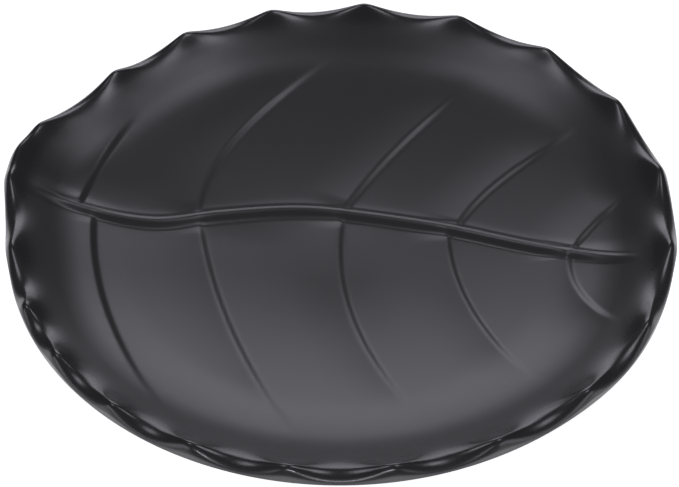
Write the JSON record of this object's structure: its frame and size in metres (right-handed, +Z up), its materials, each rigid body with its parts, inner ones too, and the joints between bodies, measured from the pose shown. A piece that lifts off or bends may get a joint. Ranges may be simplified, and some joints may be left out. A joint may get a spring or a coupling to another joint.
{
  "type": "leaf plate",
  "caption": "Shallow leaf-shaped serving dish in matt black moulded plastic, with a raised midrib, curved side veins, a toothed rolled rim and a round foot ring.",
  "frame": {"origin": "middle of the plate's footprint, on the plane the foot ring stands on", "axes": "+X along the leaf from its base to its tip, +Z up out of the dish, +Y towards the side that the midrib bows to"},
  "size_m": [0.2806, 0.2764, 0.0339],
  "materials": {
    "matt_black_melamine": "satin, fine grained"
  },
  "bodies": {
    "root": {"plate_body": "matt_black_melamine"}
  },
  "joints": []
}
